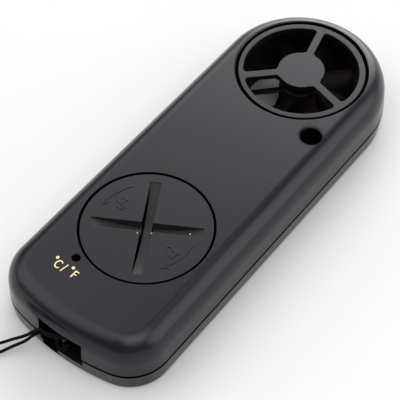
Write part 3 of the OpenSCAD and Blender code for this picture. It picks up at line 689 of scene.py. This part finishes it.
def slot_burr_glints():
    """Tiny six-sided burrs along the coin slots, pale grey so that they show as painted glints."""
    random.seed(5)
    cover_top = back_top - 0.12
    verts, faces = [], []
    # x, y, size
    for x, y, size in ((-0.61, -26.08, 0.20), (1.79, -24.33, 0.24), (8.42, -19.53, 0.18)):
        base = len(verts)
        for k in range(6):
            verts.append((x + size * random.uniform(0.7, 1.1) * math.cos(k * math.pi / 3),
                          y + size * random.uniform(0.5, 1.0) * math.sin(k * math.pi / 3),
                          cover_top - 0.02))
        peak, root = base + 6, base + 7
        verts += [(x + 0.03, y - 0.02, cover_top + 0.08), (x, y, cover_top - 0.05)]
        faces += [(base + k, base + (k + 1) % 6, peak) for k in range(6)]
        faces += [(base + (k + 1) % 6, base + k, root) for k in range(6)]
    # pale grey pieces: painted glints on the burrs
    pale_painted_light = ink_material("burr_glint_plastic", (0.5, 0.5, 0.5), rough=0.3)
    mesh_object("slot_burr_glints", verts, faces, pale_painted_light, "battery_cover", "cover_plastic",
                smooth=False)


unit_marks()
slot_burr_glints()

# ---------------------------------------------------------------- display and keys
# Lit segments: a top, b and c right, d bottom, e and f left, g middle.
SEGMENTS = {"2": "abged", "3": "abgcd", "5": "afgcd", "6": "afgedc"}


def segment(kind, x, y, width, height, stroke):
    """Pointed bar of a digit whose lower left is (x, y) as the viewer sees it."""
    gap = 0.08
    half = stroke / 2
    tip = half * 0.9
    middle = y + height / 2
    if kind in "adg":
        bar = {"a": y + height - half, "d": y + half, "g": middle}[kind]
        x0, x1 = x + half + gap, x + width - half - gap
        return [(x0 - tip, bar), (x0, bar + half), (x1, bar + half),
                (x1 + tip, bar), (x1, bar - half), (x0, bar - half)]
    bar = x + half if kind in "ef" else x + width - half
    y0, y1 = (middle, y + height - half) if kind in "bf" else (y + half, middle)
    y0, y1 = y0 + half + gap, y1 - half - gap
    return [(bar, y0 - tip), (bar + half, y0), (bar + half, y1),
            (bar, y1 + tip), (bar - half, y1), (bar - half, y0)]


def digits(text, x, y, width, height, stroke, gap):
    outlines = []
    for char in text:
        if char == ".":
            dot = x - gap * 0.7
            outlines.append([(dot, y), (dot + stroke, y), (dot + stroke, y + stroke),
                             (dot, y + stroke)])
            x += stroke * 0.6
            continue
        outlines += [segment(kind, x, y, width, height, stroke) for kind in SEGMENTS[char]]
        x += width + gap
    return outlines


def lcd_segments():
    """Display contents, laid out as seen from the front, then mirrored in X."""
    low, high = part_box("lcd_glass")
    middle, front = (low.y + high.y) / 2 / MM, low.z / MM
    parts = digits("3.6", -2.6, -0.8, width=4.2, height=7.4, stroke=0.75, gap=1.0)
    parts += digits("23.5", -4.4, -7.2, width=2.3, height=4.2, stroke=0.42, gap=0.62)
    parts.append(annulus(5.4, -3.55, outer=0.42, inner=0.2))
    # three stacked arches, then a box with a small tip at its right
    parts += [band(arc(-7.3, 3.6 - 1.3 * i, 2.0, 0.55, start=160, end=20, steps=12), 0.32)
              for i in range(3)]
    parts += [[(-9.6, -6.9), (-6.4, -6.9), (-6.4, -5.4), (-9.6, -5.4)],
              [(-6.3, -6.5), (-6.0, -6.5), (-6.0, -5.8), (-6.3, -5.8)]]

    def mirrored(outline):
        if is_ring(outline):
            return [mirrored(ring) for ring in outline]
        return [(-x, y + middle) for x, y in outline]

    printed("lcd_segments", [mirrored(part) for part in parts], front - 0.03, front - 0.005,
            segment_ink, "case", "lcd")


def window_mask():
    """Printed frame behind the window."""
    low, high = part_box("lcd_window")
    half_x, half_y = (high.x - low.x) / 2 / MM, (high.y - low.y) / 2 / MM
    middle, back = (high.y + low.y) / 2 / MM, high.z / MM
    edge, border = 1.95, 2.7    # insets of the frame's outer and inner outlines
    outer = rounded_rect(middle, half_x - edge, half_y - edge, radius=0.05)
    inner = rounded_rect(middle, half_x - border, half_y - border, radius=0.8)
    printed("window_mask", [[outer, inner]], back + 0.01, back + 0.03, mask_ink, "case",
            "window")


def key_sign(kind):
    """Broken ring with a stroke on the power key, three bars on the mode key."""
    key = f"{kind}_button"
    low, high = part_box(key)
    x, y, front = (low.x + high.x) / 2 / MM, (low.y + high.y) / 2 / MM, low.z / MM
    stroke = 0.3
    if kind == "power":
        shapes = [band(arc(x, y - 0.15, 1.25, 1.25, start=125, end=415, steps=26), stroke),
                  band([(x, y + 0.25), (x, y + 1.5)], stroke)]
    else:
        shapes = [band([(x - 1.15, y + shift), (x + 1.15, y + shift)], stroke)
                  for shift in (-0.85, 0.0, 0.85)]
    printed(f"{kind}_sign", shapes, front - 0.01, front + 0.004, grey_ink, key, "key_plastic")


lcd_segments()
window_mask()
for kind in ("power", "mode"):
    key_sign(kind)

# ---------------------------------------------------------------- lanyard
SLEEVE_END = Vector((-20.6, -69.0))     # cord end of the crimped sleeve
SLEEVE_TURN = math.radians(262)         # direction from cord to webbing, from +X
POST = (0.35, -51.4)
POST_R = 0.6
CORD_R = 0.36
HITCH_R = POST_R + CORD_R + 0.14
LOOP_L, LOOP_W = 46.0, 27.0             # wrist loop
WEB_W, WEB_T = 6.0, 1.2


def from_sleeve(u, v, z):
    """Point u along the sleeve's axis from its cord end and v to the side."""
    return (SLEEVE_END.x + u * math.cos(SLEEVE_TURN) - v * math.sin(SLEEVE_TURN),
            SLEEVE_END.y + u * math.sin(SLEEVE_TURN) + v * math.cos(SLEEVE_TURN), z)


def round_post(angle, z):
    return (POST[0] + HITCH_R * math.cos(math.radians(angle)),
            POST[1] + HITCH_R * math.sin(math.radians(angle)), z)


def through(points, steps):
    """Points on a Catmull-Rom curve through points."""
    points = [Vector(point) for point in points]
    points = [points[0] * 2 - points[1]] + points + [points[-1] * 2 - points[-2]]
    curve = []
    for i in range(1, len(points) - 2):
        a, b, c, d = points[i - 1:i + 3]
        for k in range(steps):
            t = k / steps
            curve.append((b * 2 + (c - a) * t + (a * 2 - b * 5 + c * 4 - d) * t * t
                          + (b * 3 - a - c * 3 + d) * t ** 3) / 2)
    return curve + [points[-2]]


def resample(path, step):
    """Evenly spaced points along path, about step apart."""
    lengths = [(after - before).length for before, after in zip(path, path[1:])]
    total = sum(lengths)
    count = max(2, round(total / step))
    spacing = total / count
    points, i, run = [path[0]], 0, 0.0
    for k in range(1, count):
        goal = k * spacing
        while run + lengths[i] < goal:
            run += lengths[i]
            i += 1
        points.append(path[i] + (path[i + 1] - path[i]) * ((goal - run) / lengths[i]))
    points.append(path[-1])
    return points


def relax(path, rounds):
    for _ in range(rounds):
        inner = [(path[i - 1] + path[i] * 2 + path[i + 1]) / 4 for i in range(1, len(path) - 1)]
        path = [path[0]] + inner + [path[-1]]
    return path


def tangent(path, i):
    return (path[min(i + 1, len(path) - 1)] - path[max(i - 1, 0)]).normalized()


def skin(rings, sides, capped=True):
    """Faces over a run of rings, with end caps, or joined last ring to first."""
    faces = []
    for i in range(rings - 1 if capped else rings):
        here, there = i * sides, (i + 1) % rings * sides
        for j in range(sides):
            k = (j + 1) % sides
            faces.append((here + j, here + k, there + k, there + j))
    if capped:
        faces.append(tuple(range(sides))[::-1])
        faces.append(tuple((rings - 1) * sides + j for j in range(sides)))
    return faces


def cord_path():
    """From the sleeve, hitched round the post, and back to the sleeve."""
    hitch = range(6)
    knots = [from_sleeve(1.5, -0.8, 2), from_sleeve(-0.2, -0.8, 2), from_sleeve(-2.2, -0.8, 1.8)]
    # up from the table to the post
    knots += [(-20.4, -64.9, 1.3), (-18.6, -63.3, 0.9), (-16.2, -62, 0.9), (-13.6, -60.6, 1.2),
              (-11.6, -58.8, 2), (-9.6, -57.1, 3.2), (-7.2, -55.4, 4.9), (-4.95, -53.35, 6.8),
              (-2.9, -52.95, 6.75), (-1.4, -52.2, 6.8)]
    knots += [round_post(180 - 45 * i, 6.9 + 0.2 * i) for i in hitch]
    # over and down across both strands
    knots += [(0.65, -52.65, 8.2), (0.15, -53.1, 8.45), (-0.08, -53.25, 7.7),
              (-0.12, -53.3, 6.4), (-0.05, -53.25, 5), (0.2, -53.05, 4.2), (0.7, -52.65, 4.25)]
    knots += [round_post(180 - 45 * i, 5.65 - 0.2 * i) for i in reversed(hitch)]
    # back down to the table
    knots += [(-1.4, -52.2, 5.75), (-2.9, -52.95, 5.85), (-4.9, -53.5, 5.75),
              (-5.95, -54.5, 4.9), (-7, -55.9, 3.6), (-9, -58, 2.1), (-10.6, -60.1, 1.1),
              (-12.2, -62.3, 0.8), (-15, -64.5, 0.7), (-17.9, -65.9, 1.1)]
    knots += [from_sleeve(-2, 0.8, 1.7), from_sleeve(-0.2, 0.8, 2), from_sleeve(1.5, 0.8, 2)]
    return relax(resample(through(knots, 14), 0.11), 4)


def cord():
    """Round cord with the crossing ridges of a braid."""
    sides, pitch = 20, 1.5
    path = cord_path()
    verts, uvs, run = [], [], 0.0
    normal = Vector((0, 0, 1))
    for i, centre in enumerate(path):
        along = tangent(path, i)
        normal = (normal - along * normal.dot(along)).normalized()
        side = along.cross(normal)
        if i:
            run += (centre - path[i - 1]).length
        twist = 2 * math.pi * run / pitch
        for j in range(sides):
            angle = 2 * math.pi * j / sides
            ridge = max(abs(math.cos(2 * angle + twist)), abs(math.cos(2 * angle - twist)))
            radius = CORD_R * (0.86 + 0.12 * ridge)
            verts.append(tuple(
                centre + (normal * math.cos(angle) + side * math.sin(angle)) * radius))
            uvs.append((run, j / sides * 2 * math.pi * CORD_R))
    piece = mesh_object("cord_braid", verts, skin(len(path), sides), braid, "lanyard",
                        "cord_fabric", uvs=uvs)
    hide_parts("lanyard_cord")


def webbing_path():
    """Drop-shaped loop with a straight lead from the sleeve at each end."""
    def drop(t):
        return (5.6 + LOOP_L * (1 - math.cos(t)) / 2,
                LOOP_W / 2 * math.sin(t) * abs(math.sin(t / 2)) ** 1.4)

    def between(start, end, i):
        return tuple(a + (b - a) * i / 6 for a, b in zip(start, end))

    first = math.radians(30)
    last = 2 * math.pi - first
    mouth_u, mouth_v = 5.0, 0.85    # where the two ends lie in the sleeve
    flat = [between((mouth_u, mouth_v), drop(first), i) for i in range(6)]
    flat += [drop(first + (2 * math.pi - 2 * first) * i / 160) for i in range(161)]
    flat += [between(drop(last), (mouth_u, -mouth_v), i) for i in range(1, 7)]
    line = [Vector(from_sleeve(u, v, 0)) for u, v in flat]
    return relax(resample(line, 0.17), 14)


def webbing_section():
    """Closed outline as (height, thickness, face); face is 1 or -1 on the flats, 0 on edges."""
    half_h, half_t = WEB_W / 2, WEB_T / 2 - 0.06
    edge, rows = 0.25, 26

    def flat(face):
        return [(-half_h + edge + (WEB_W - 2 * edge) * i / rows, face * half_t, face)
                for i in range(rows + 1)]

    def rounded(side):
        return [(side * (half_h - edge + edge * math.sin(math.radians(k))),
                 side * half_t * math.cos(math.radians(k)), 0) for k in (30, 60, 90, 120, 150)]

    return flat(1) + rounded(1) + flat(-1)[::-1] + rounded(-1)


def webbing():
    """Wrist strap: a herringbone band standing on its edge."""
    pitch, yarn = 0.85, 0.46        # herringbone along the band, yarns across it
    line, section = webbing_path(), webbing_section()
    total = sum((after - before).length for before, after in zip(line, line[1:]))
    upright = Vector((0, 0, 1))
    verts, uvs, run = [], [], 0.0
    for i, point in enumerate(line):
        if i:
            run += (point - line[i - 1]).length
        along = tangent(line, i)
        normal = Vector((-along.y, along.x, 0))
        # the band leans and lifts a little, except where the sleeve holds it
        part = run / total
        free = min(1.0, min(part, 1 - part) / 0.12)
        lean = math.radians(7.0) * math.sin(2 * math.pi * part * 1.5 + 0.4) * free
        lift = 0.10 * math.sin(2 * math.pi * part * 2 + 1.0) * free
        up = upright * math.cos(lean) + normal * math.sin(lean)
        out = normal * math.cos(lean) - upright * math.sin(lean)
        middle = Vector((point.x, point.y, 0.4 + WEB_W / 2 + lift))
        for height, thickness, face in section:
            rib = 0.055 * (abs(math.sin(math.pi * (run / pitch + abs(height) / pitch))) - 0.6)
            rib += 0.02 * math.cos(2 * math.pi * height / yarn)
            ripple = 0.0
            if abs(height) > WEB_W / 2 - 0.3:
                ripple = 0.03 * math.sin(2 * math.pi * run / pitch)
            rise = height * 0.996 + (ripple if height > 0 else -ripple)
            verts.append(tuple(middle + up * rise + out * (thickness + rib * face)))
            uvs.append((run, height))
    piece = mesh_object("wrist_webbing", verts, skin(len(line), len(section)), weave, "lanyard",
                        "webbing_fabric", uvs=uvs)
    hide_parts("wrist_strap")


def ferrule_heights():
    """Middle height and half height of the sleeve."""
    low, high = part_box("cord_ferrule")
    return (low.z + high.z) / 2 / MM, (high.z - low.z) / 2 / MM


def squarish_ring(u, half_v, half_z, z_mid, power, sides):
    """Superellipse across the sleeve's axis; a smaller power is squarer."""
    points = []
    for j in range(sides):
        angle = 2 * math.pi * j / sides
        c, s = math.cos(angle), math.sin(angle)
        v = half_v * abs(c) ** power * (1 if c > 0 else -1)
        z = half_z * abs(s) ** power * (1 if s > 0 else -1)
        points.append(from_sleeve(u, v, z_mid + z))
    return points


def sleeve():
    """Crimped sleeve that joins cord and webbing, with two dents."""
    z_mid, half_z = ferrule_heights()
    length, half_v, sides = 8.0, 2.5, 64
    # outside, from cord end to webbing end: (u, scale in v, scale in z, wall)
    rows = []
    stations = [0, 0.06, 0.2, 0.5] + [0.9 + 0.22 * i for i in range(29)] + [7.5, 7.8, 7.94, 8.0]
    for u in stations:
        rounding = (1 - 0.05 * max(0, 1 - u / 0.4) ** 2
                    - 0.05 * max(0, 1 - (length - u) / 0.4) ** 2)
        dent = sum(math.exp(-((u - centre) / 0.42) ** 2) for centre in (2.4, 5.2))
        rows.append((u, rounding - 0.10 * dent, rounding - 0.012 * dent, 0))
    # inside, back to the cord end, narrower between the mouths
    rows += [(u, 0.95, 0.95, 0.42) for u in (8.0, 7.7, 7.2)]
    rows += [(u, 0.90, 0.95, 0.5) for u in (7.2, 0.8)]
    rows += [(u, 0.95, 0.95, 0.42) for u in (0.8, 0.3, 0.0)]
    verts = []
    for u, scale_v, scale_z, wall in rows:
        verts += squarish_ring(u, half_v * scale_v - wall, half_z * scale_z - wall, z_mid,
                               power=0.42, sides=sides)
    piece = mesh_object("crimp_sleeve", verts, skin(len(rows), sides, capped=False), crimped,
                        "lanyard", "ferrule_steel")
    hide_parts("cord_ferrule")


def filler():
    """Cord tails and filler seen inside the sleeve's mouth."""
    z_mid, half_z = ferrule_heights()
    sides = 40
    rows = ((0.7, 0.7), (0.75, 0.93), (3.2, 0.93), (3.25, 0.7))     # u, scale
    verts = []
    for u, scale in rows:
        verts += squarish_ring(u, 1.45 * scale, (half_z - 0.75) * scale, z_mid,
                               power=0.5, sides=sides)
    mesh_object("sleeve_filler", verts, skin(len(rows), sides), black, "lanyard",
                "webbing_fabric")


cord()
webbing()
sleeve()
filler()


# ---------------------------------------------------------------- table
def table_material():
    """White table, left out when seen from below so that the front can be looked at."""
    net = new_net("white_table")
    point = net.coords()
    tone = net.mix(net.noise(point, scale=14.0), (0.59, 0.59, 0.59), (0.615, 0.615, 0.615))
    grain = net.noise(point, scale=2500.0, detail=3.0)
    top = net.principled(tone, rough=0.7, spec=0.25,
                         normal=net.bump(grain, strength=0.1, distance=0.00002))
    clear = net.node("ShaderNodeBsdfTransparent").outputs[0]
    backfacing = net.node("ShaderNodeNewGeometry").outputs["Backfacing"]
    view = net.node("ShaderNodeVectorTransform",
                    {"vector_type": "VECTOR", "convert_from": "CAMERA", "convert_to": "WORLD"},
                    Vector=net.node("ShaderNodeCameraData").outputs["View Vector"]).outputs[0]
    upward = net.math("GREATER_THAN", net.vector("DOT_PRODUCT", view, (0, 0, 1)), 0.0)
    return net.finish(net.mix_shader(net.math("MAXIMUM", backfacing, upward), top, clear))


def table():
    bm = bmesh.new()
    bmesh.ops.create_grid(bm, x_segments=1, y_segments=1, size=4.0)
    mesh = bpy.data.meshes.new("floor")
    bm.to_mesh(mesh)
    bm.free()
    floor = bpy.data.objects.new("floor", mesh)
    floor.location = (0, 0, -0.00003)
    scene.collection.objects.link(floor)
    mesh.materials.append(table_material())


table()


# ---------------------------------------------------------------- camera
def camera():
    azimuth, elevation, roll = 0.661, 0.917, -0.008     # radians, azimuth from -Y towards +X
    distance = 310.489
    target = Vector((-2.232, -2.381, 0.0))
    eye = target + distance * Vector((math.sin(azimuth) * math.cos(elevation),
                                      -math.cos(azimuth) * math.cos(elevation),
                                      math.sin(elevation)))
    forward = (target - eye).normalized()
    level = forward.cross(Vector((0, 0, 1))).normalized()
    above = level.cross(forward)
    right = level * math.cos(roll) + above * math.sin(roll)
    up = -level * math.sin(roll) + above * math.cos(roll)
    data = bpy.data.cameras.new("camera")
    data.lens = 122.778
    data.sensor_width = 36
    data.clip_start, data.clip_end = 0.01, 20
    holder = bpy.data.objects.new("camera", data)
    rows = [(right[i], up[i], -forward[i], eye[i] * MM) for i in range(3)]
    holder.matrix_world = Matrix((*rows, (0, 0, 0, 1)))
    scene.collection.objects.link(holder)
    scene.camera = holder


camera()

# ---------------------------------------------------------------- light
# Broad softboxes in a pale room: height and bearing from +X, half width (degrees), strength
SOFTBOXES = (
    (22, 111, 25, 5.0),     # key, beyond the vane end
    (22, 28, 26, 1.8),      # fill from the right
    (45, 215, 28, 1.6),     # fill from the left
    (52, 156, 14, 1.1),     # sheen on the back face
    (60, 325, 22, 1.4),     # soft light over the camera
    (80, 0, 24, 1.3),       # overhead
    # for the underside, hidden by the table in any view from above
    (-70, 200, 40, 0.9),
    (-35, 330, 34, 0.7),
    (-30, 80, 34, 0.55),
    (-20, 190, 30, 0.35),
)
ROOM = 0.3
BACKDROP = (0.96, 0.96, 0.96)   # seen by the camera only


def softbox(net, sky, height, bearing, half, power):
    """Round glow, full inside 0.35 of the half width and gone at 1.5 of it."""
    height, bearing = math.radians(height), math.radians(bearing)
    toward = Vector((math.cos(height) * math.cos(bearing),
                     math.cos(height) * math.sin(bearing), math.sin(height))).normalized()
    glow = net.ramp(net.vector("DOT_PRODUCT", sky, tuple(toward)),
                    low=math.cos(math.radians(half * 1.5)),
                    high=math.cos(math.radians(half * 0.35)))
    node = net.node("ShaderNodeVectorMath", {"operation": "SCALE"}, Scale=glow)
    net.put(node, "0", (power, power, power))
    return node.outputs["Vector"]


def studio():
    world = bpy.data.worlds.new("studio")
    scene.world = world
    net = Net(world)
    sky = net.coords("Generated")
    boxes = [softbox(net, sky, *box) for box in SOFTBOXES]
    total = boxes[0]
    for box in boxes[1:]:
        total = net.vector("ADD", total, box)
    total = net.vector("ADD", total, (ROOM, ROOM, ROOM))
    lit = net.node("ShaderNodeBackground", Strength=1.0, Color=total).outputs[0]
    white = net.node("ShaderNodeBackground", Strength=1.0, Color=BACKDROP).outputs[0]
    seen = net.node("ShaderNodeLightPath").outputs["Is Camera Ray"]
    net.finish(net.mix_shader(seen, lit, white), output="ShaderNodeOutputWorld")
    world.cycles.sampling_method = "MANUAL"
    world.cycles.sample_map_resolution = 512


studio()
scene.view_settings.view_transform = "Standard"
scene.view_settings.look = "None"
scene.view_settings.exposure = 0.0
